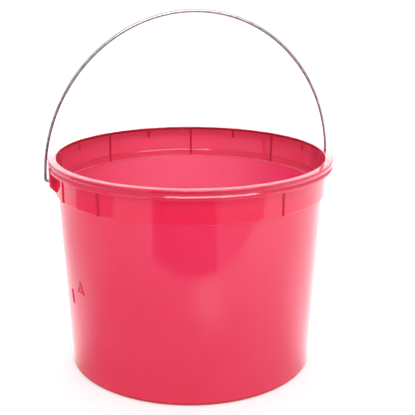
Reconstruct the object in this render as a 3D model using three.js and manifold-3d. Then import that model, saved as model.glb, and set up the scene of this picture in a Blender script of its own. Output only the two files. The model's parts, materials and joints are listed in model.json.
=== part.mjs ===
// A five-litre moulded plastic sand pail with a steel wire bail.
// Millimetres, +Z up. The origin is on the ground under the centre of the base,
// and the two ears that carry the bail lie on the X axis.
import * as THREE from 'three';
import { mergeVertices } from 'three/addons/utils/BufferGeometryUtils.js';
import Module from 'manifold-3d';

const wasm = await Module();
wasm.setup();

// Pail
const HEIGHT = 166;
const RIM_RADIUS = 110;
const MOUTH_RADIUS = 103.5;
const BAND_RADIUS = 105.2;
const BAND_BOTTOM = 140;
const BODY_TOP_RADIUS = 102.8;
const BASE_RADIUS = 96.7;
const WALL = 1.5;
const BASE_CORNER = 2.5;
const INNER_CORNER = 4;
const FOOT_INNER_RADIUS = 88;
const BASE_RISE = 2;
const BASE_THICKNESS = 1.8;
const ROUND_STEPS = 72;

// Rim: a flange that turns down into a skirt, with an open channel behind it
const SKIRT_BOTTOM = 158.6;
const SKIRT_WALL = 1.6;
const FLANGE_THICKNESS = 1.6;
const RIM_ROLL = 0.9;
const MOUTH_ROLL = 0.7;
const BEAD_RADIUS = 0.8;
const BEAD_HEIGHT = 2.4;
const RIM_WAIST = 0.7;
const WAIST_HEIGHT = 3.5;

// Ledge inside, where the wall steps outwards to form the band
const LEDGE_HEIGHT = 140.6;
const SMALL_STEP_HEIGHT = 145.5;
const SMALL_STEP_RADIUS = 103;

// Ribs, counted round from the centre of the X ear
const RIB_TURN = 76;
const INNER_RIBS = 17;
const INNER_RIB_WIDTH = 1.6;
const INNER_RIB_FACE = 102.3;
const INNER_RIB_TOP = 164;
const SHORT_RIB_LENGTH = 6;
const OUTER_RIB_WIDTH = 2;
const OUTER_RIB_FACE = 106.2;
const OUTER_RIB_SPREAD = 37.8;
const EAR_RIB_SPREAD = 14;

// Ears: hollow lugs under the rim, open at the bottom
const EAR_WIDTH = 16;
const EAR_WALL = 1.6;
const EAR_FACE = 110;
const TAB_BOTTOM = 147.8;
const EAR_FOOT = 143.3;
const PIVOT_HEIGHT = 150.5;
const PIVOT_HOLE_RADIUS = 1.5;

// Bail
const WIRE_RADIUS = 1.1;
const WIRE_SIDES = 12;
const BAIL_HALF_WIDTH = 112.3;
const BAIL_HEIGHT = 124.6;
const BAIL_BEND = 2;
const TAIL_RADIUS = 106.9;
const TAIL_DROP = 4.6;
const BAIL_LEAN = 4.1;

// Moulded level mark on the wall near one ear
const MARK_RELIEF = 0.6;
const MARK_BAR = { turn: 192.2, height: 65, length: 11, width: 2, tilt: 10 };
const MARK_ARROW = { turn: 201, height: 77, size: 10, stroke: 1.6 };

const degrees = THREE.MathUtils.degToRad;

// Outer radius of the tapered wall at a height.
function bodyRadius(height) {
  return BASE_RADIUS + (BODY_TOP_RADIUS - BASE_RADIUS) * height / BAND_BOTTOM;
}

// Points of an arc about (r, z), from one angle to another in degrees.
function arc(r, z, radius, from, to, steps) {
  const points = [];
  for (let i = 0; i <= steps; i++) {
    const angle = degrees(from + (to - from) * i / steps);
    points.push(new THREE.Vector2(r + radius * Math.cos(angle), z + radius * Math.sin(angle)));
  }
  return points;
}

function line(...pairs) {
  return pairs.map(([r, z]) => new THREE.Vector2(r, z));
}

// A closed solid from a geometry, with shared vertices merged.
function solid(geometry) {
  const bare = geometry.clone();
  bare.deleteAttribute('normal');
  bare.deleteAttribute('uv');
  const merged = mergeVertices(bare, 1e-4);
  const index = merged.index.array;
  const triangles = [];
  for (let i = 0; i < index.length; i += 3) {
    const [a, b, c] = [index[i], index[i + 1], index[i + 2]];
    if (a !== b && b !== c && c !== a) triangles.push(a, b, c);
  }
  return new wasm.Manifold(new wasm.Mesh({
    numProp: 3,
    vertProperties: new Float32Array(merged.attributes.position.array),
    triVerts: new Uint32Array(triangles),
  }));
}

function geometryOf(shape) {
  const mesh = shape.getMesh();
  const geometry = new THREE.BufferGeometry();
  geometry.setAttribute('position', new THREE.BufferAttribute(mesh.vertProperties, 3));
  geometry.setIndex(new THREE.BufferAttribute(mesh.triVerts, 1));
  geometry.computeVertexNormals();
  return geometry;
}

// A box whose length runs outwards from one radius to another, turned about Z.
function radialBox(inner, outer, width, bottom, top, turn) {
  const box = new THREE.BoxGeometry(outer - inner, width, top - bottom);
  box.translate((inner + outer) / 2, 0, (bottom + top) / 2);
  box.rotateZ(degrees(turn));
  return solid(box);
}

// Underside, wall and band of the pail, from the axis up to the flange.
function outerProfile() {
  const channelTop = HEIGHT - FLANGE_THICKNESS;
  return [
    ...line([0, BASE_RISE], [FOOT_INNER_RADIUS - 2, BASE_RISE], [FOOT_INNER_RADIUS, 0]),
    ...arc(bodyRadius(BASE_CORNER) - BASE_CORNER, BASE_CORNER, BASE_CORNER, -90, 0, 3),
    ...line(
      [bodyRadius(BAND_BOTTOM - 0.8), BAND_BOTTOM - 0.8],
      [BODY_TOP_RADIUS + 0.6, BAND_BOTTOM],
      [BAND_RADIUS - 0.5, BAND_BOTTOM],
      [BAND_RADIUS, BAND_BOTTOM + 0.6],
      [BAND_RADIUS + 0.3, channelTop],
    ),
  ];
}

// Channel, skirt and rolled top of the rim, from under the flange to the mouth.
function rimProfile() {
  const channelTop = HEIGHT - FLANGE_THICKNESS;
  const skirtInside = RIM_RADIUS - SKIRT_WALL;
  return [
    ...line([skirtInside, channelTop], [skirtInside, SKIRT_BOTTOM]),
    ...arc(RIM_RADIUS - BEAD_RADIUS, SKIRT_BOTTOM + BEAD_RADIUS, BEAD_RADIUS, -90, 0, 3),
    ...line(
      [RIM_RADIUS, SKIRT_BOTTOM + BEAD_HEIGHT],
      [RIM_RADIUS - RIM_WAIST, SKIRT_BOTTOM + WAIST_HEIGHT],
      [RIM_RADIUS - 0.1, HEIGHT - 2.2],
    ),
    ...arc(RIM_RADIUS - 0.1 - RIM_ROLL, HEIGHT - RIM_ROLL, RIM_ROLL, 0, 90, 4),
    ...arc(MOUTH_RADIUS + MOUTH_ROLL, HEIGHT - MOUTH_ROLL, MOUTH_ROLL, 90, 180, 3),
  ];
}

// Inside of the pail, from the mouth down to the axis.
function innerProfile() {
  const floor = BASE_RISE + BASE_THICKNESS;
  const cornerHeight = floor + INNER_CORNER;
  return [
    ...line(
      [MOUTH_RADIUS - 0.2, SMALL_STEP_HEIGHT + 0.8],
      [SMALL_STEP_RADIUS, SMALL_STEP_HEIGHT],
      [SMALL_STEP_RADIUS - 0.1, LEDGE_HEIGHT + 0.9],
      [SMALL_STEP_RADIUS - 0.5, LEDGE_HEIGHT + 0.2],
      [bodyRadius(LEDGE_HEIGHT) - WALL, LEDGE_HEIGHT - 0.6],
    ),
    ...arc(bodyRadius(cornerHeight) - WALL - INNER_CORNER, cornerHeight, INNER_CORNER, 0, -90, 3),
    ...line([0, floor]),
  ];
}

function bareShell() {
  const profile = [...outerProfile(), ...rimProfile(), ...innerProfile()];
  const lathe = new THREE.LatheGeometry(profile, ROUND_STEPS);
  lathe.rotateX(Math.PI / 2);
  return solid(lathe);
}

// Thin upright ribs that stop a nested pail from jamming. They are long and short in
// turn, counting both ways from the first one, so two long ones meet on the far side.
function innerRib(number) {
  const turn = RIB_TURN + number * 360 / INNER_RIBS;
  const isLong = Math.min(number, INNER_RIBS - number) % 2 === 0;
  const bottom = isLong ? LEDGE_HEIGHT - 0.2 : INNER_RIB_TOP - SHORT_RIB_LENGTH;
  return radialBox(INNER_RIB_FACE, MOUTH_RADIUS + 0.8, INNER_RIB_WIDTH, bottom, INNER_RIB_TOP, turn);
}

// Braces on the band that tie it to the flange.
function outerRib(turn) {
  const bottom = BAND_BOTTOM + 0.3;
  const top = HEIGHT - FLANGE_THICKNESS / 2;
  return radialBox(BAND_RADIUS - 0.8, OUTER_RIB_FACE, OUTER_RIB_WIDTH, bottom, top, turn);
}

// Side view of an ear, as distance out from the axis and height.
function earOutline() {
  const flange = HEIGHT - 1.2;
  return new THREE.Shape(line(
    [BAND_RADIUS - 1, EAR_FOOT],
    [BAND_RADIUS + 0.6, EAR_FOOT],
    [EAR_FACE, TAB_BOTTOM],
    [EAR_FACE, SKIRT_BOTTOM + 1],
    [EAR_FACE - 0.8, SKIRT_BOTTOM + 2],
    [EAR_FACE - 0.8, flange],
    [BAND_RADIUS - 1, flange],
  ));
}

// An upright outline in the XZ plane, thickened evenly to both sides of it.
function upright(outline, thickness) {
  const plate = new THREE.ExtrudeGeometry(outline, { depth: thickness, bevelEnabled: false });
  plate.translate(0, 0, -thickness / 2);
  plate.rotateX(Math.PI / 2);
  return solid(plate);
}

function ear() {
  const inside = EAR_WIDTH - 2 * EAR_WALL;
  const below = EAR_FOOT - 2;
  const cavity = radialBox(BAND_RADIUS - 2, EAR_FACE - EAR_WALL, inside, below, HEIGHT - FLANGE_THICKNESS, 0);
  const lowerCavity = radialBox(BAND_RADIUS - 2, EAR_FACE + 1, inside, below, TAB_BOTTOM, 0);
  return upright(earOutline(), EAR_WIDTH).subtract(cavity).subtract(lowerCavity);
}

// Hole along X through the tab, which the bail turns in.
function pivotHole() {
  const hole = new THREE.CylinderGeometry(PIVOT_HOLE_RADIUS, PIVOT_HOLE_RADIUS, 4, 24);
  hole.rotateZ(Math.PI / 2);
  hole.translate(EAR_FACE, 0, PIVOT_HEIGHT);
  return solid(hole);
}

// Puts a raised outline on the tapered wall, facing outwards.
function onWall(outline, turn, height, tilt) {
  const buried = WALL / 2;
  const relief = new THREE.ExtrudeGeometry(outline, { depth: MARK_RELIEF + buried, bevelEnabled: false });
  relief.rotateZ(degrees(tilt));
  relief.translate(0, 0, -buried);
  relief.applyMatrix4(new THREE.Matrix4().makeBasis(
    new THREE.Vector3(0, 1, 0), new THREE.Vector3(0, 0, 1), new THREE.Vector3(1, 0, 0),
  ));
  const taper = Math.atan((BODY_TOP_RADIUS - BASE_RADIUS) / BAND_BOTTOM);
  relief.rotateY(taper);
  relief.translate(bodyRadius(height), 0, height);
  relief.rotateZ(degrees(turn));
  return solid(relief);
}

function markBar() {
  const { turn, height, length, width, tilt } = MARK_BAR;
  const half = width / 2;
  const bar = new THREE.Shape(line(
    [-half, -length / 2], [half, -length / 2], [half, length / 2], [-half, length / 2],
  ));
  return onWall(bar, turn, height, tilt);
}

function markArrow() {
  const { turn, height, size, stroke } = MARK_ARROW;
  const triangle = (half, base) => line([-half, base], [half, base], [0, base + half * 2]);
  const arrow = new THREE.Shape(triangle(size / 2, -size / 2));
  arrow.holes.push(new THREE.Path(triangle(size / 2 - stroke * 1.5, -size / 2 + stroke)));
  return onWall(arrow, turn, height, 0);
}

function pailShell() {
  let shell = bareShell();
  for (let number = 0; number < INNER_RIBS; number++) {
    shell = shell.add(innerRib(number));
  }
  for (const side of [0, 180]) {
    for (const spread of [-OUTER_RIB_SPREAD, OUTER_RIB_SPREAD]) {
      shell = shell.add(outerRib(RIB_TURN + side + spread));
    }
    for (const spread of [-EAR_RIB_SPREAD, EAR_RIB_SPREAD]) {
      shell = shell.add(outerRib(side + spread));
    }
    const turned = (shape) => shape.rotate([0, 0, side]);
    shell = shell.add(turned(ear())).subtract(turned(pivotHole()));
  }
  return shell.add(markBar()).add(markArrow());
}

// Stations along the bail's centre line, from one tail to the other, in the
// bail's own upright plane with the hinge axis at height 0.
function bailStations() {
  const half = [
    ...line([TAIL_RADIUS, -TAIL_DROP]),
    ...arc(TAIL_RADIUS + BAIL_BEND, -BAIL_BEND, BAIL_BEND, 180, 90, 5),
    ...arc(BAIL_HALF_WIDTH - BAIL_BEND, BAIL_BEND, BAIL_BEND, -90, 0, 5),
  ];
  const archSteps = 60;
  const arch = [];
  for (let i = 1; i < archSteps; i++) {
    const angle = Math.PI * i / archSteps;
    const rise = (BAIL_HEIGHT - BAIL_BEND) * Math.sin(angle);
    arch.push(new THREE.Vector2(BAIL_HALF_WIDTH * Math.cos(angle), BAIL_BEND + rise));
  }
  const mirrored = half.map((point) => new THREE.Vector2(-point.x, point.y)).reverse();
  return [...half, ...arch, ...mirrored];
}

// A path with one step of the sweep from each station to the next.
class StationPath extends THREE.Curve {
  constructor(stations) {
    super();
    this.stations = stations;
  }

  getPoint(t, target = new THREE.Vector3()) {
    const last = this.stations.length - 1;
    const place = t * last;
    const before = Math.min(Math.floor(place), last - 1);
    const [from, to] = [this.stations[before], this.stations[before + 1]];
    const point = from.clone().lerp(to, place - before);
    return target.set(point.x, 0, point.y);
  }

  getUtoTmapping(u) {
    return u;
  }
}

function bailWire() {
  const stations = bailStations();
  const section = new THREE.Shape();
  section.absarc(0, 0, WIRE_RADIUS, 0, 2 * Math.PI);
  return new THREE.ExtrudeGeometry(section, {
    steps: stations.length - 1,
    curveSegments: WIRE_SIDES / 2,
    extrudePath: new StationPath(stations),
  });
}

function redPlastic() {
  return new THREE.MeshStandardMaterial({ color: 0xe6385b, roughness: 0.25, metalness: 0 });
}

function galvanisedSteel() {
  return new THREE.MeshStandardMaterial({ color: 0xc3c4c8, roughness: 0.3, metalness: 1 });
}

const pail = new THREE.Mesh(geometryOf(pailShell()), redPlastic());
pail.name = 'pail_shell';

const bail = new THREE.Mesh(bailWire(), galvanisedSteel());
bail.name = 'bail_wire';

const bailHinge = new THREE.Group();
bailHinge.position.z = PIVOT_HEIGHT;
bailHinge.rotation.x = degrees(BAIL_LEAN);
bailHinge.add(bail);

const sandPail = new THREE.Group();
sandPail.add(pail, bailHinge);

export default sandPail;
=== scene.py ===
"""Studio picture of a sand pail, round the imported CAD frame.

The pail and its bail are built as smooth meshes in millimetres and scaled to metres when they are finished.
Materials, the camera and the lamps are in metres from the start, and the floor and the cards on it are
drawn in millimetres and scaled.
"""
import json
import math

import bmesh
import bpy
from mathutils import Matrix, Quaternion, Vector


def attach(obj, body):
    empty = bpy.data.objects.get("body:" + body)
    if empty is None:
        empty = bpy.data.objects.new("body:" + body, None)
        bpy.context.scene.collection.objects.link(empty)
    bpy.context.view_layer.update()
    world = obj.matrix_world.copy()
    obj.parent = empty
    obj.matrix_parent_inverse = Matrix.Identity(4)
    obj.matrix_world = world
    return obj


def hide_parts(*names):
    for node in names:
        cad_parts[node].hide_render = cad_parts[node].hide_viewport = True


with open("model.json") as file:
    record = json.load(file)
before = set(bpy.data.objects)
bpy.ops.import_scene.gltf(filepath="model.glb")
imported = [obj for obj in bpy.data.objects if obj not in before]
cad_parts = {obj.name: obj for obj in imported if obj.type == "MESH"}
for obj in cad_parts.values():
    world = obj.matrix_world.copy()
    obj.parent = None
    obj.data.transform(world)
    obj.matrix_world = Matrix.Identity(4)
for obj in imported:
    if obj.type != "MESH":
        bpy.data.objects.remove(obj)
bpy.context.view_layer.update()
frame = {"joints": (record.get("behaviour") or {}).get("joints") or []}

MM = 0.001

# ---------------------------------------------------------------- sizes

# Lengths in mm; turns, spreads, tilt and lean in degrees.

HEIGHT = 166.0
RIM_RADIUS = 110.0
MOUTH_RADIUS = 103.5
BAND_RADIUS = 105.2
BAND_BOTTOM = 140.0
BODY_TOP_RADIUS = 102.8
BASE_RADIUS = 96.7
WALL = 1.5
BASE_CORNER = 2.5
FOOT_INNER_RADIUS = 88.0
BASE_RISE = 2.0
FLOOR_TOP = 3.8
INNER_CORNER = 4.0
SKIRT_BOTTOM = 158.6
SKIRT_INSIDE = 108.4
CHANNEL_TOP = 164.4
BEAD_HEIGHT = 2.1
WAIST_HEIGHT = 3.5
RIM_WAIST = 0.9
LEDGE_HEIGHT = 140.6
SMALL_STEP_HEIGHT = 145.5
SMALL_STEP_RADIUS = 103.0

RIB_TURN = 76.0
INNER_RIBS = 17
INNER_RIB_WIDTH = 1.6
INNER_RIB_FACE = 102.3
INNER_RIB_TOP = 164.0
SHORT_RIB_LENGTH = 6.0
OUTER_RIB_WIDTH = 2.0
OUTER_RIB_FACE = 106.2
OUTER_RIB_SPREAD = 37.8
EAR_RIB_SPREAD = 14.0
RIB_SINK = 0.8
RIB_SOFTNESS = 0.3

EAR_WIDTH = 16.0
EAR_WALL = 1.6
EAR_FACE = 110.0
EAR_STEP = 0.8
TAB_BOTTOM = 147.8
EAR_FOOT = 143.3
PIVOT_HOLE_RADIUS = 1.5

WIRE_RADIUS = 1.1
BAIL_HALF_WIDTH = 112.3
BAIL_HEIGHT = 124.6
BAIL_BEND = 2.0
TAIL_RADIUS = 106.9
TAIL_DROP = 4.6
BAIL_LEAN = 4.1
TIP_LENGTH = 0.3
TIP_CHAMFER = 0.25

MARK_RELIEF = 0.6
MARK_BAR = {"turn": 192.2, "height": 65.0, "length": 11.0, "width": 2.0, "tilt": 10.0}
MARK_ARROW = {"turn": 201.0, "height": 77.0, "size": 10.0, "stroke": 1.6}
MARK_SOFTNESS = 0.15

PIVOT_HEIGHT = frame["joints"][0]["pos_m"][2] / MM

# How finely curves are cut.
CORNER_STEPS = 6
ROUND_STEPS = 288
HOLE_SIDES = 32
WIRE_SIDES = 24
WIRE_BEND_STEPS = 10
ARCH_STEPS = 240


# ---------------------------------------------------------------- shapes

def body_radius(height):
    """Outer radius of the tapered wall."""
    return BASE_RADIUS + (BODY_TOP_RADIUS - BASE_RADIUS) * height / BAND_BOTTOM


def rounded(corners, closed):
    """Points of an outline whose corners, given as (x, y, radius), are rounded off."""
    points = []
    last = len(corners) - 1
    for i, (x, y, radius) in enumerate(corners):
        corner = Vector((x, y))
        if radius == 0 or (not closed and i in (0, last)):
            points.append(corner)
            continue
        before = Vector(corners[i - 1][:2]) - corner
        after = Vector(corners[(i + 1) % len(corners)][:2]) - corner
        half = before.angle(after) / 2
        reach = min(radius / math.tan(half), before.length * 0.49, after.length * 0.49)
        true_radius = reach * math.tan(half)
        middle = (before.normalized() + after.normalized()).normalized()
        centre = corner + middle * true_radius / math.sin(half)
        start = corner + before.normalized() * reach - centre
        sweep = start.angle_signed(corner + after.normalized() * reach - centre)
        for step in range(CORNER_STEPS + 1):
            turn = Matrix.Rotation(-sweep * step / CORNER_STEPS, 2)
            points.append(centre + turn @ start)
    return points


def new_object(name, mesh_data):
    piece = bpy.data.objects.new(name, mesh_data)
    bpy.context.scene.collection.objects.link(piece)
    return piece


def object_from(name, bm):
    """An object from a bmesh in millimetres."""
    bmesh.ops.recalc_face_normals(bm, faces=bm.faces)
    mesh = bpy.data.meshes.new(name)
    bm.to_mesh(mesh)
    bm.free()
    return new_object(name, mesh)


def revolve(name, section):
    """A closed body turned about Z. The section runs from the axis back to the axis."""
    bm = bmesh.new()
    low = bm.verts.new((0, 0, section[0].y))
    high = bm.verts.new((0, 0, section[-1].y))
    rings = []
    for point in section[1:-1]:
        ring = []
        for step in range(ROUND_STEPS):
            angle = 2 * math.pi * step / ROUND_STEPS
            ring.append(bm.verts.new((point.x * math.cos(angle), point.x * math.sin(angle), point.y)))
        rings.append(ring)
    for step in range(ROUND_STEPS):
        after = (step + 1) % ROUND_STEPS
        bm.faces.new((low, rings[0][step], rings[0][after]))
        bm.faces.new((high, rings[-1][step], rings[-1][after]))
        for ring, above in zip(rings, rings[1:]):
            bm.faces.new((ring[step], ring[after], above[after], above[step]))
    return object_from(name, bm)


def prism(outline, low, high, soften):
    """An upright outline in XZ, thickened along Y, with its long edges softened."""
    bm = bmesh.new()
    face = bm.faces.new([bm.verts.new((p.x, low, p.y)) for p in outline])
    made = bmesh.ops.extrude_face_region(bm, geom=[face])
    moved = [v for v in made["geom"] if isinstance(v, bmesh.types.BMVert)]
    bmesh.ops.translate(bm, verts=moved, vec=(0, high - low, 0))
    bm.normal_update()
    if soften:
        edges = [e for e in bm.edges if abs((e.verts[0].co - e.verts[1].co).y) < 1e-6]
        bmesh.ops.bevel(bm, geom=edges, offset=soften, segments=3, profile=0.5, affect="EDGES")
    return object_from("prism", bm)


def rod(radius, length, sides, direction):
    """A cylinder about the origin along the direction."""
    bm = bmesh.new()
    turn = Vector((0, 0, 1)).rotation_difference(Vector(direction)).to_matrix().to_4x4()
    bmesh.ops.create_cone(
        bm, cap_ends=True, segments=sides, radius1=radius, radius2=radius, depth=length, matrix=turn,
    )
    return object_from("rod", bm)


def placed(piece, matrix):
    piece.data.transform(matrix)
    return piece


def turned(piece, angle):
    return placed(piece, Matrix.Rotation(math.radians(angle), 4, "Z"))


def combine(target, tools, operation):
    """Joins tools to the target, or cuts them from it, and removes them."""
    for tool in tools:
        change = target.modifiers.new("change", "BOOLEAN")
        change.operation = operation
        change.solver = "MANIFOLD"
        change.object = tool
    shown = target.evaluated_get(bpy.context.evaluated_depsgraph_get())
    result = bpy.data.meshes.new_from_object(shown)
    target.modifiers.clear()
    target.data = result
    for tool in tools:
        bpy.data.objects.remove(tool)


# ---------------------------------------------------------------- pail shell

def shell_section():
    """Half section of the moulding, from the axis under the base round to the axis inside."""
    return rounded([
        (0, BASE_RISE, 0),
        (FOOT_INNER_RADIUS - 2, BASE_RISE, 1.2),
        (FOOT_INNER_RADIUS, 0, 0.6),
        (BASE_RADIUS, 0, BASE_CORNER),
        (BODY_TOP_RADIUS, BAND_BOTTOM, 0.7),
        (BAND_RADIUS, BAND_BOTTOM, 0.6),
        (BAND_RADIUS + 0.3, CHANNEL_TOP, 0.8),
        (SKIRT_INSIDE, CHANNEL_TOP, 0.8),
        (SKIRT_INSIDE, SKIRT_BOTTOM, 0.5),
        (RIM_RADIUS, SKIRT_BOTTOM, 0.8),
        (RIM_RADIUS, SKIRT_BOTTOM + BEAD_HEIGHT, 0.6),
        (RIM_RADIUS - RIM_WAIST, SKIRT_BOTTOM + WAIST_HEIGHT, 0.6),
        (RIM_RADIUS - 0.1, HEIGHT - 2.2, 0.6),
        (RIM_RADIUS - 0.1, HEIGHT, 0.9),
        (MOUTH_RADIUS, HEIGHT, 0.7),
        (MOUTH_RADIUS - 0.2, SMALL_STEP_HEIGHT + 0.6, 0.5),
        (SMALL_STEP_RADIUS, SMALL_STEP_HEIGHT, 0.5),
        (SMALL_STEP_RADIUS - 0.1, LEDGE_HEIGHT + 0.5, 0.5),
        (body_radius(LEDGE_HEIGHT) - WALL, LEDGE_HEIGHT - 0.5, 0.8),
        (body_radius(FLOOR_TOP) - WALL, FLOOR_TOP, INNER_CORNER),
        (0, FLOOR_TOP, 0),
    ], closed=False)


def radial_bar(inner, outer, width, bottom, top, soften):
    """An upright bar that runs outwards along X."""
    outline = [Vector((inner, bottom)), Vector((outer, bottom)), Vector((outer, top)), Vector((inner, top))]
    return prism(outline, -width / 2, width / 2, soften)


def inner_ribs():
    """Thin upright ribs that stop a nested pail from jamming, long and short in turn."""
    ribs = []
    for number in range(INNER_RIBS):
        is_long = min(number, INNER_RIBS - number) % 2 == 0
        bottom = LEDGE_HEIGHT - 0.2 if is_long else INNER_RIB_TOP - SHORT_RIB_LENGTH
        rib = radial_bar(
            INNER_RIB_FACE, MOUTH_RADIUS + RIB_SINK, INNER_RIB_WIDTH, bottom, INNER_RIB_TOP, RIB_SOFTNESS,
        )
        ribs.append(turned(rib, RIB_TURN + number * 360 / INNER_RIBS))
    return ribs


def outer_ribs():
    """Braces on the band that tie it to the flange: two to the front and back, and two beside each ear."""
    turns = (RIB_TURN - OUTER_RIB_SPREAD, RIB_TURN + OUTER_RIB_SPREAD, -EAR_RIB_SPREAD, EAR_RIB_SPREAD)
    ribs = []
    for side in (0, 180):
        for turn in turns:
            rib = radial_bar(
                BAND_RADIUS - RIB_SINK, OUTER_RIB_FACE, OUTER_RIB_WIDTH,
                BAND_BOTTOM + 0.3, CHANNEL_TOP + RIB_SINK, RIB_SOFTNESS,
            )
            ribs.append(turned(rib, side + turn))
    return ribs


def ear():
    """A hollow lug under the rim, open at the bottom, with sloping sides."""
    flange = HEIGHT - 1.2
    body = prism(rounded([
        (BAND_RADIUS - 1, EAR_FOOT, 0),
        (BAND_RADIUS + 0.6, EAR_FOOT, 0.3),
        (EAR_FACE, TAB_BOTTOM, 1.2),
        (EAR_FACE, SKIRT_BOTTOM + 1, 0.6),
        (EAR_FACE - EAR_STEP, SKIRT_BOTTOM + 2, 0.6),
        (EAR_FACE - EAR_STEP, flange, 0),
        (BAND_RADIUS - 1, flange, 0),
    ], closed=True), -EAR_WIDTH / 2, EAR_WIDTH / 2, 0.5)
    half = EAR_WIDTH / 2 - EAR_WALL
    inner = BAND_RADIUS - 2
    below = EAR_FOOT - 2
    cavity = radial_bar(inner, EAR_FACE - EAR_WALL, 2 * half, below, CHANNEL_TOP, 0)
    lower_cavity = radial_bar(inner, EAR_FACE + 1, 2 * half, below, TAB_BOTTOM, 0)
    combine(body, [cavity, lower_cavity], "DIFFERENCE")
    return body


def pivot_hole(side):
    """The bail's hole through the tab of one ear."""
    hole = rod(PIVOT_HOLE_RADIUS, 4, HOLE_SIDES, (1, 0, 0))
    return turned(placed(hole, Matrix.Translation((EAR_FACE, 0, PIVOT_HEIGHT))), side)


def on_wall(outlines, turn, height, tilt):
    """A raised shape on the tapered wall. The first outline is its edge and the others are holes in it."""
    relief, *holes = [prism(outline, -MARK_RELIEF, WALL / 2, 0) for outline in outlines]
    for hole in holes:
        # Thickened, so that it cuts right through.
        placed(hole, Matrix.Diagonal((1, 3, 1, 1)))
    if holes:
        combine(relief, holes, "DIFFERENCE")
    bm = bmesh.new()
    bm.from_mesh(relief.data)
    top = [e for e in bm.edges if all(v.co.y < -MARK_RELIEF + 0.01 for v in e.verts)]
    edges = [e for e in top if e.calc_face_angle(0) > 0.5]
    bmesh.ops.bevel(bm, geom=edges, offset=MARK_SOFTNESS, segments=2, profile=0.5, affect="EDGES")
    bm.to_mesh(relief.data)
    bm.free()
    taper = math.atan((BODY_TOP_RADIUS - BASE_RADIUS) / BAND_BOTTOM)
    return placed(relief, (
        Matrix.Rotation(math.radians(turn), 4, "Z")
        @ Matrix.Translation((body_radius(height), 0, height))
        @ Matrix.Rotation(taper, 4, "Y")
        @ Matrix.Rotation(math.radians(tilt), 4, "X")
        @ Matrix.Rotation(math.radians(90), 4, "Z")
    ))


def triangle(half, base):
    """A triangle as tall as it is wide, standing on its base."""
    return [Vector((-half, base)), Vector((half, base)), Vector((0, base + 2 * half))]


def level_mark():
    """A short bar and a hollow triangle, raised on the wall near one ear."""
    half = MARK_BAR["width"] / 2
    reach = MARK_BAR["length"] / 2
    bar = [Vector((-half, -reach)), Vector((half, -reach)), Vector((half, reach)), Vector((-half, reach))]
    size, stroke = MARK_ARROW["size"], MARK_ARROW["stroke"]
    arrow = [triangle(size / 2, -size / 2), triangle(size / 2 - stroke * 1.5, -size / 2 + stroke)]
    return [
        on_wall([bar], MARK_BAR["turn"], MARK_BAR["height"], MARK_BAR["tilt"]),
        on_wall(arrow, MARK_ARROW["turn"], MARK_ARROW["height"], 0),
    ]


def finish_surface(piece, name, sharp_angle, material):
    """Smooth shading with crisp edges, real size in metres, and one material."""
    piece.name = name
    mesh = piece.data
    mesh.name = name
    bm = bmesh.new()
    bm.from_mesh(mesh)
    bmesh.ops.remove_doubles(bm, verts=bm.verts, dist=1e-4)
    bmesh.ops.scale(bm, verts=bm.verts, vec=(MM, MM, MM))
    bm.to_mesh(mesh)
    bm.free()
    mesh.shade_smooth()
    mesh.set_sharp_from_angle(angle=math.radians(sharp_angle))
    mesh.materials.clear()
    mesh.materials.append(material)
    even = piece.modifiers.new("even_normals", "WEIGHTED_NORMAL")
    even.keep_sharp = True
    shown = piece.evaluated_get(bpy.context.evaluated_depsgraph_get())
    piece.data = bpy.data.meshes.new_from_object(shown)
    piece.data.name = name
    piece.modifiers.clear()


def make_pail(material):
    shell = revolve("pail", shell_section())
    ears = [turned(ear(), side) for side in (0, 180)]
    combine(shell, ears + inner_ribs() + outer_ribs() + level_mark(), "UNION")
    combine(shell, [pivot_hole(0), pivot_hole(180)], "DIFFERENCE")
    finish_surface(shell, "pail_moulding", 30, material)
    return shell


# ---------------------------------------------------------------- bail

def wire_bend(x, z, radius, start, end):
    """Points round one bend of the wire, between two angles in degrees."""
    points = []
    for step in range(WIRE_BEND_STEPS + 1):
        angle = math.radians(start + (end - start) * step / WIRE_BEND_STEPS)
        points.append(Vector((x + radius * math.cos(angle), 0, z + radius * math.sin(angle))))
    return points


def bail_line():
    """Centre line of the wire in its own plane, with the hinge axis at height 0."""
    half = [Vector((TAIL_RADIUS, 0, -TAIL_DROP))]
    half += wire_bend(TAIL_RADIUS + BAIL_BEND, -BAIL_BEND, BAIL_BEND, 180, 90)
    half += wire_bend(BAIL_HALF_WIDTH - BAIL_BEND, BAIL_BEND, BAIL_BEND, -90, 0)
    arch = []
    for step in range(1, ARCH_STEPS):
        angle = math.pi * step / ARCH_STEPS
        rise = (BAIL_HEIGHT - BAIL_BEND) * math.sin(angle)
        arch.append(Vector((BAIL_HALF_WIDTH * math.cos(angle), 0, BAIL_BEND + rise)))
    mirrored = [Vector((-p.x, 0, p.z)) for p in reversed(half)]
    return half + arch + mirrored


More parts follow.
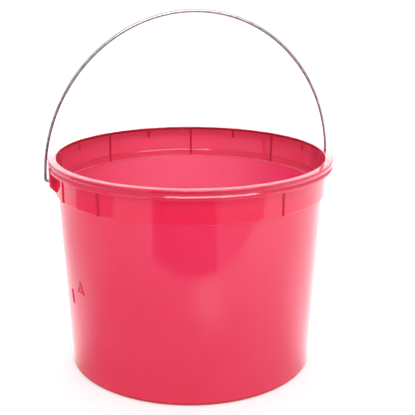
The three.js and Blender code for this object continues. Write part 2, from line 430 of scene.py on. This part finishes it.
def wire_along(line):
    """A round wire along a line that lies in the XZ plane, with slightly chamfered ends."""
    bm = bmesh.new()
    uv_layer = bm.loops.layers.uv.new("along_wire")
    lengths = [0.0]
    for before, after in zip(line, line[1:]):
        lengths.append(lengths[-1] + (after - before).length)
    last = len(line) - 1
    rings = []
    for i, point in enumerate(line):
        along = (line[min(i + 1, last)] - line[max(i - 1, 0)]).normalized()
        across = along.cross(Vector((0, 1, 0)))
        reach = WIRE_RADIUS - TIP_CHAMFER if i in (0, last) else WIRE_RADIUS
        ring = []
        for side in range(WIRE_SIDES):
            angle = 2 * math.pi * side / WIRE_SIDES
            offset = across * math.cos(angle) + Vector((0, 1, 0)) * math.sin(angle)
            ring.append(bm.verts.new(point + offset * reach))
        rings.append(ring)
    for i, (ring, above) in enumerate(zip(rings, rings[1:])):
        for side in range(WIRE_SIDES):
            after = (side + 1) % WIRE_SIDES
            face = bm.faces.new((ring[side], ring[after], above[after], above[side]))
            places = ((side, i), (side + 1, i), (side + 1, i + 1), (side, i + 1))
            for loop, (turn, station) in zip(face.loops, places):
                loop[uv_layer].uv = (turn / WIRE_SIDES, lengths[station] / 10)
    bm.faces.new(rings[0])
    bm.faces.new(rings[-1])
    return object_from("wire", bm)


def make_bail(material):
    line = bail_line()
    line.insert(1, line[0] + (line[1] - line[0]).normalized() * TIP_LENGTH)
    line.insert(-1, line[-1] + (line[-2] - line[-1]).normalized() * TIP_LENGTH)
    wire = wire_along(line)
    lean = Matrix.Rotation(math.radians(BAIL_LEAN), 4, "X")
    placed(wire, Matrix.Translation((0, 0, PIVOT_HEIGHT)) @ lean)
    finish_surface(wire, "bail_rod", 40, material)
    return wire


# ---------------------------------------------------------------- materials

class Surface:
    """A Principled material with short calls to add and link its nodes."""

    def __init__(self, name, **constants):
        self.material = bpy.data.materials.new(name)
        self.material.use_nodes = True
        self.tree = self.material.node_tree
        self.shader = self.tree.nodes["Principled BSDF"]
        for socket, value in constants.items():
            self.shader.inputs[socket.replace("_", " ")].default_value = value

    def node(self, kind, inputs=None, **settings):
        made = self.tree.nodes.new(kind)
        for name, value in settings.items():
            setattr(made, name, value)
        for name, value in (inputs or {}).items():
            if isinstance(value, bpy.types.NodeSocket):
                self.tree.links.new(value, made.inputs[name])
            else:
                made.inputs[name].default_value = value
        return made

    def link(self, source, socket):
        self.tree.links.new(source, self.shader.inputs[socket])

    def object_place(self):
        return self.node("ShaderNodeTexCoord").outputs["Object"]

    def noise(self, vector, scale, detail=3.0, roughness=0.5):
        return self.node("ShaderNodeTexNoise", {
            "Vector": vector, "Scale": scale, "Detail": detail, "Roughness": roughness,
        }).outputs["Fac"]

    def stretched(self, vector, scale):
        return self.node("ShaderNodeMapping", {"Vector": vector, "Scale": scale}).outputs["Vector"]

    def remap(self, value, low, high, out_low, out_high, **settings):
        return self.node("ShaderNodeMapRange", {
            "Value": value, "From Min": low, "From Max": high, "To Min": out_low, "To Max": out_high,
        }, **settings).outputs["Result"]

    def maths(self, operation, a, b=0.0):
        return self.node("ShaderNodeMath", {0: a, 1: b}, operation=operation).outputs[0]

    def above(self, value, level):
        return self.maths("GREATER_THAN", value, level)

    def below(self, value, level):
        return self.maths("LESS_THAN", value, level)

    def times(self, *factors):
        product = factors[0]
        for factor in factors[1:]:
            product = self.maths("MULTIPLY", product, factor)
        return product

    def total(self, *parts):
        result = parts[0]
        for part in parts[1:]:
            result = self.maths("ADD", result, part)
        return result

    def strongest(self, *tones):
        result = tones[0]
        for tone in tones[1:]:
            result = self.maths("MAXIMUM", result, tone)
        return result

    def line_at(self, value, level, solid, gone, tone):
        """A line of a tone at one level: solid up to one distance from it, and gone at another."""
        distance = self.maths("ABSOLUTE", self.maths("SUBTRACT", value, level))
        return self.remap(distance, solid, gone, tone, 0.0)

    def vector(self, operation, inputs, output="Value"):
        return self.node("ShaderNodeVectorMath", inputs, operation=operation).outputs[output]

    def blend(self, factor, a, b):
        mixer = self.node("ShaderNodeMix", data_type="RGBA")
        for socket, value in ((0, factor), (6, a), (7, b)):
            if isinstance(value, bpy.types.NodeSocket):
                self.tree.links.new(value, mixer.inputs[socket])
            else:
                mixer.inputs[socket].default_value = value
        return mixer.outputs[2]

    def bump(self, height, distance, strength, normal=None):
        inputs = {"Height": height, "Distance": distance, "Strength": strength}
        if normal:
            inputs["Normal"] = normal
        return self.node("ShaderNodeBump", inputs).outputs["Normal"]


def rgb(red, green, blue):
    return (red, green, blue, 1.0)


PLASTIC = (rgb(0.77, 0.020, 0.080), rgb(0.80, 0.027, 0.096))
# Painted light: the paler colour that the inside is painted where light from the mouth falls.
PLASTIC_LIT = rgb(0.77, 0.07, 0.15)
# Painted shade: the deeper colour painted at edges, ribs, lines, the level mark and the foot.
PLASTIC_PAINTED_SHADE = rgb(0.42, 0.007, 0.022)
PLASTIC_SCUFFED = rgb(0.86, 0.20, 0.26)
STEEL = (rgb(0.36, 0.36, 0.38), rgb(0.50, 0.50, 0.52))
PAPER = (rgb(0.74, 0.74, 0.74), rgb(0.77, 0.77, 0.77))
WHITE = rgb(1.0, 1.0, 1.0)
BLACK = rgb(0.0, 0.0, 0.0)

# How much painted shade deepens the plastic's colour at each feature, from 0 to 1. The mouth's edge and the
# foot have 1.
STEP_TONE = 0.55
LEDGE_TONE = 0.6
RIB_TONE = 0.7
SKIRT_TONE = 0.5
MARK_TONE = 0.6

# Painted light: how much paler the inside of the wall is painted on the +Y side, where light from the mouth
# falls.
FAR_WALL_TONE = 0.36


class PailPlace:
    """Where a point lies on the pail. Each value is a socket, in metres, or 1 where its name holds."""

    def __init__(self, look):
        self.point = look.object_place()
        split = look.node("ShaderNodeSeparateXYZ", {"Vector": self.point})
        self.y = split.outputs["Y"]
        self.height = split.outputs["Z"]
        flat = look.vector("MULTIPLY", {0: self.point, 1: (1.0, 1.0, 0.0)}, "Vector")
        self.radius = look.vector("LENGTH", {0: flat})
        self.in_band = look.above(self.height, (BAND_BOTTOM + 0.2) * MM)
        wall_middle = self.wall_at(look, -0.8)
        band_middle = look.times(self.in_band, (MOUTH_RADIUS + 0.8) * MM)
        self.inside = look.below(self.radius, look.strongest(wall_middle, band_middle))

    def wall_at(self, look, offset):
        """Radius of the tapered wall's outer face at this height, moved out by an offset in millimetres."""
        return look.remap(
            self.height, 0.0, BAND_BOTTOM * MM, (BASE_RADIUS + offset) * MM, (BODY_TOP_RADIUS + offset) * MM,
        )


def lit_inside(look, at):
    """Painted light: the whole band and the far wall are painted paler inside, where light from the mouth
    falls on them.
    """
    far_wall = look.remap(at.y, 0.03, 0.10, 0.0, FAR_WALL_TONE)
    return look.times(at.inside, look.strongest(at.in_band, far_wall))


def inside_edges(look, at):
    """Painted shade inside: a deeper colour at the mouth's edge, the step, the ledge and the inner ribs."""
    mouth = look.remap(at.height, (INNER_RIB_TOP - 0.4) * MM, (INNER_RIB_TOP + 0.4) * MM, 0.0, 1.0)
    step = look.line_at(at.height, (SMALL_STEP_HEIGHT + 0.3) * MM, 0.0004, 0.0008, STEP_TONE)
    ledge = look.line_at(at.height, (LEDGE_HEIGHT - 0.2) * MM, 0.0004, 0.0008, LEDGE_TONE)
    on_rib = look.times(
        look.below(at.radius, (INNER_RIB_FACE + 0.5) * MM), look.above(at.height, (LEDGE_HEIGHT + 0.6) * MM),
    )
    return look.times(at.inside, look.strongest(mouth, step, ledge, look.times(on_rib, RIB_TONE)))


def outer_rib_faces(look, at):
    """Painted shade on the outer ribs, a deeper colour there, and not on the ears, which are nearer to the X
    axis.
    """
    beside_ears = look.above(look.maths("ABSOLUTE", at.y), 0.02)
    on_face = look.times(
        look.above(at.radius, (OUTER_RIB_FACE - 0.5) * MM),
        look.below(at.radius, (OUTER_RIB_FACE + 0.2) * MM),
        look.below(at.height, (SKIRT_BOTTOM - 0.6) * MM),
    )
    return look.times(beside_ears, on_face, RIB_TONE)


def skirt_lines(look, at):
    """Painted shade on the skirt, a deeper colour along its foot and under the roll of the rim."""
    on_skirt = look.times(
        look.above(at.radius, (SKIRT_INSIDE + 0.1) * MM), look.above(at.height, (SKIRT_BOTTOM - 0.6) * MM),
    )
    under_roll = look.line_at(at.height, (HEIGHT - 2) * MM, 0.0006, 0.0011, SKIRT_TONE)
    foot = look.remap(at.height, (SKIRT_BOTTOM + 0.4) * MM, (SKIRT_BOTTOM + 1) * MM, SKIRT_TONE, 0.0)
    return look.times(on_skirt, look.strongest(under_roll, foot))


def raised_mark(look, at):
    """Painted shade on the level mark, a deeper colour, the only thing that stands out from the wall below
    the band.
    """
    return look.times(look.below(at.height, 0.12), look.above(at.radius, at.wall_at(look, 0.4)), MARK_TONE)


def pail_colour(look, at):
    """The plastic's mottled colour, with painted light inside and painted shade at edges, ribs, lines and
    the foot.
    """
    mottle = look.remap(look.noise(at.point, 16.0), 0.35, 0.65, 0.0, 1.0)
    colour = look.blend(lit_inside(look, at), look.blend(mottle, *PLASTIC), PLASTIC_LIT)
    # Painted shade at the foot, darker towards the floor where the pail stands.
    base_foot = look.remap(at.height, 0.0016, 0.0034, 1.0, 0.0)
    # Painted shade: the strongest of the darkened features, from 0 to 1.
    painted_shade = look.strongest(
        inside_edges(look, at), outer_rib_faces(look, at), skirt_lines(look, at), raised_mark(look, at),
        base_foot,
    )
    return look.blend(painted_shade, colour, PLASTIC_PAINTED_SHADE)


def pail_relief(look, at):
    """The moulding's slow waves, the fine upright lines left by the mould, and a very fine grain."""
    upright = look.stretched(at.point, (1.0, 1.0, 0.04))
    waves = look.bump(look.noise(at.point, 26.0, detail=1.0), 0.0004, 0.25)
    lines = look.bump(look.noise(upright, 420.0, detail=2.0), 0.00003, 0.25, waves)
    return look.bump(look.noise(at.point, 900.0, detail=2.0), 0.00002, 0.2, lines)


def pail_plastic():
    """Glossy plastic that lets some light through, scuffed a little at its foot and rim."""
    look = Surface(
        "pail_plastic",
        IOR=1.49,
        Subsurface_Weight=1.0,
        Subsurface_Radius=(0.006, 0.0064, 0.0069),
        Subsurface_Scale=1.0,
    )
    at = PailPlace(look)
    handling = look.noise(at.point, 95.0, detail=6.0, roughness=0.65)
    near_foot = look.remap(at.height, 0.0, 0.006, 1.0, 0.0)
    near_rim = look.remap(at.height, 0.163, 0.166, 0.0, 0.3)
    worn = look.times(look.remap(handling, 0.60, 0.70, 0.0, 1.0), look.total(near_foot, near_rim))
    haze = look.remap(handling, 0.3, 0.75, 0.07, 0.16)
    look.link(look.blend(look.times(worn, 0.35), pail_colour(look, at), PLASTIC_SCUFFED), "Base Color")
    look.link(look.total(haze, look.times(worn, 0.3)), "Roughness")
    look.link(pail_relief(look, at), "Normal")
    return look.material


def bail_steel():
    """Galvanised wire: a fine spangle, and lines along it from the drawing die."""
    look = Surface("bail_steel", Metallic=1.0)
    along_wire = look.node("ShaderNodeTexCoord").outputs["UV"]
    spangle = look.noise(look.object_place(), 260.0, detail=3.0)
    die_lines = look.noise(look.stretched(along_wire, (14.0, 0.6, 1.0)), 3.0, detail=2.0)
    look.link(look.blend(look.remap(spangle, 0.35, 0.65, 0.0, 1.0), *STEEL), "Base Color")
    look.link(look.remap(spangle, 0.3, 0.7, 0.22, 0.38), "Roughness")
    look.link(look.bump(die_lines, 0.00002, 0.35), "Normal")
    return look.material


def paper():
    """Pale floor paper that shines a little, as a studio table lit from below does."""
    look = Surface("studio_paper", Roughness=0.9, Emission_Color=WHITE, Emission_Strength=0.40)
    look.link(look.blend(look.noise(look.object_place(), 60.0), *PAPER), "Base Color")
    return look.material


# ---------------------------------------------------------------- studio

# In metres, with the lens and sensor in mm and the roll in degrees.
CAMERA_PLACE = Vector((-0.16066, -0.64437, 0.3193))
CAMERA_AIM = Vector((0.01275, -0.00318, 0.1219))
CAMERA_LENS = 75.97
CAMERA_SENSOR = 36.0
CAMERA_ROLL = 0.3

# Along the floor, straight away from the photo's viewpoint and to the right of it.
AWAY = (0.242, 0.97, 0)
ACROSS = (0.97, -0.242, 0)

# A point on the pail's axis, just under the mouth.
UNDER_MOUTH = (0, 0, 0.16)

# The bright spot on the table, in front of the pail.
SPOT = (-0.008, -0.262, 0)

# In mm, as the floor, the backdrop and the cards are drawn.
FLOOR_RADIUS = 30000
BACKDROP_RADIUS = 15000
TABLE_CARD_HEIGHT = 1.0
UPPER_CARD_HEIGHT = 2.0


def add_camera():
    """The camera stands a little left of the pail's front and looks down at it."""
    data = bpy.data.cameras.new("camera")
    data.sensor_width = CAMERA_SENSOR
    data.lens = CAMERA_LENS
    camera = new_object("camera", data)
    camera.location = CAMERA_PLACE
    camera.rotation_mode = "QUATERNION"
    roll = Quaternion((0, 0, 1), math.radians(CAMERA_ROLL))
    camera.rotation_quaternion = (CAMERA_AIM - CAMERA_PLACE).to_track_quat("-Z", "Y") @ roll
    bpy.context.scene.camera = camera


def stage_piece(name, bm, material):
    """A piece of the studio, from a bmesh in millimetres."""
    piece = object_from(name, bm)
    piece.data.transform(Matrix.Scale(MM, 4))
    piece.data.materials.append(material)
    return piece


def add_floor(material):
    bm = bmesh.new()
    bmesh.ops.create_circle(bm, cap_ends=True, segments=96, radius=FLOOR_RADIUS)
    stage_piece("studio_floor", bm, material)


def add_backdrop(look):
    """A far white shell that only the camera sees, so that no horizon shows."""
    bm = bmesh.new()
    bmesh.ops.create_uvsphere(bm, u_segments=64, v_segments=32, radius=BACKDROP_RADIUS)
    shell = stage_piece("studio_backdrop", bm, look.material)
    shell.visible_diffuse = False
    shell.visible_glossy = False
    shell.visible_transmission = False
    shell.visible_volume_scatter = False
    shell.visible_shadow = False


def add_world():
    """A soft white sky, brighter overhead: its strength is 0.7 + 0.2 times the square of the height."""
    world = bpy.data.worlds.new("studio")
    bpy.context.scene.world = world
    world.use_nodes = True
    nodes = world.node_tree.nodes
    links = world.node_tree.links
    direction = nodes.new("ShaderNodeTexCoord").outputs["Generated"]
    split = nodes.new("ShaderNodeSeparateXYZ")
    links.new(direction, split.inputs[0])
    square = nodes.new("ShaderNodeMath")
    square.operation = "MULTIPLY"
    links.new(split.outputs["Z"], square.inputs[0])
    links.new(split.outputs["Z"], square.inputs[1])
    rise = nodes.new("ShaderNodeMath")
    rise.operation = "MULTIPLY_ADD"
    links.new(square.outputs[0], rise.inputs[0])
    rise.inputs[1].default_value = 0.2
    rise.inputs[2].default_value = 0.7
    links.new(rise.outputs[0], nodes["Background"].inputs["Strength"])
    nodes["Background"].inputs["Color"].default_value = WHITE


def add_softbox(name, location, aim, size, brightness):
    """A rectangular lamp. Its brightness is that of its surface, whatever its size."""
    width, depth = size
    data = bpy.data.lights.new(name, "AREA")
    data.shape = "RECTANGLE"
    data.size = width
    data.size_y = depth
    data.energy = brightness * math.pi * width * depth
    lamp = new_object(name, data)
    lamp.location = location
    lamp.rotation_mode = "QUATERNION"
    lamp.rotation_quaternion = (Vector(aim) - Vector(location)).to_track_quat("-Z", "Y")
    lamp.visible_camera = False
    return lamp


def glow_material(name, strength=1.0):
    """A surface that only shines."""
    return Surface(
        name, Base_Color=BLACK, Roughness=1.0, Specular_IOR_Level=0.0,
        Emission_Color=WHITE, Emission_Strength=strength,
    )


def graded_material():
    """Tone of the table as the gloss sees it.

    It grows to the right and away from the camera, with a bright spot in front of the pail. Close to the
    pail it is darker in front and brighter at the sides and behind.
    """
    look = glow_material("graded_card")
    place = look.object_place()
    to_right = look.remap(look.vector("DOT_PRODUCT", {0: place, 1: ACROSS}), -0.08, 0.32, 0.98, 1.78)
    to_back = look.remap(look.vector("DOT_PRODUCT", {0: place, 1: AWAY}), -0.05, 0.25, 0.0, 0.4)
    from_spot = look.vector("DISTANCE", {0: place, 1: SPOT})
    spot = look.remap(from_spot, 0.0, 0.09, 0.9, 0.0, interpolation_type="SMOOTHSTEP")
    reach = look.vector("LENGTH", {0: place})
    outwards = look.vector("NORMALIZE", {0: place}, "Vector")
    behind = look.vector("DOT_PRODUCT", {0: outwards, 1: AWAY})
    near_front = look.times(
        look.remap(reach, 0.12, 0.42, -0.38, 0.0), look.remap(behind, -0.55, -0.15, 1.0, 0.0),
    )
    near_sides = look.times(
        look.remap(reach, 0.12, 0.35, 0.7, 0.0), look.remap(behind, -0.4, 0.0, 0.0, 1.0),
    )
    look.link(look.total(to_right, to_back, spot, near_front, near_sides), "Emission Strength")
    return look


def add_card(name, outline, height, look):
    """A flat card just above the floor, seen only in the gloss of the object."""
    bm = bmesh.new()
    bm.faces.new([bm.verts.new((x, y, height)) for x, y in outline])
    card = stage_piece(name, bm, look.material)
    card.visible_camera = False
    card.visible_diffuse = False
    card.visible_shadow = False
    card.visible_transmission = False


def add_cards():
    """What the gloss sees of the table, and of the dark room beyond the table's edge."""
    table = [(-1500, -1500), (1500, -1500), (1500, 1500), (-1500, 1500)]
    dark = [(-249, -278), (-243, -262), (-200, -268), (25, -310), (130, -1505), (-1050, -1138)]
    side = [(-455, 200), (-1460, 640), (-1440, -400), (-480, -142)]
    grey = [(25, -310), (245, -350), (371, -405), (1126, -1061), (130, -1505)]
    add_card("graded_card", table, TABLE_CARD_HEIGHT, graded_material())
    cards = (("dark_card", dark, 0.0), ("side_card", side, 0.28), ("grey_card", grey, 0.65))
    for name, outline, strength in cards:
        add_card(name, outline, UPPER_CARD_HEIGHT, glow_material(name, strength))


def add_lights():
    """Soft light from the front and the back, and two lamps that only show as highlights on the rim."""
    front = add_softbox("front_light", (0.073, -0.7, 0.86), UNDER_MOUTH, (1.05, 0.3), 2.3)
    front.visible_glossy = False
    near_rim = add_softbox("rim_highlight", (0.07, -0.675, 0.835), UNDER_MOUTH, (1.05, 0.3), 9.5)
    near_rim.visible_diffuse = False
    add_softbox("back_panel", (0.3, 1.2, 0.4), UNDER_MOUTH, (1.8, 0.8), 1.0)
    far_rim = add_softbox("far_rim_glow", (0.24, 1.08, 0.395), (0.0, 0.107, 0.166), (0.7, 0.075), 2.4)
    far_rim.visible_diffuse = False
    back = add_softbox("back_glow", (0.04, 0.46, 0.2), (0, 0.1, 0.12), (0.35, 0.25), 2.5)
    back.visible_glossy = False


# ---------------------------------------------------------------- the scene

bpy.context.scene.view_settings.view_transform = "Standard"
add_camera()
add_world()
add_floor(paper())
add_backdrop(glow_material("backdrop_white"))
add_cards()
add_lights()

pail = make_pail(pail_plastic())
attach(pail, "pail")
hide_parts("pail_shell")

bail = make_bail(bail_steel())
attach(bail, "bail")
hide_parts("bail_wire")
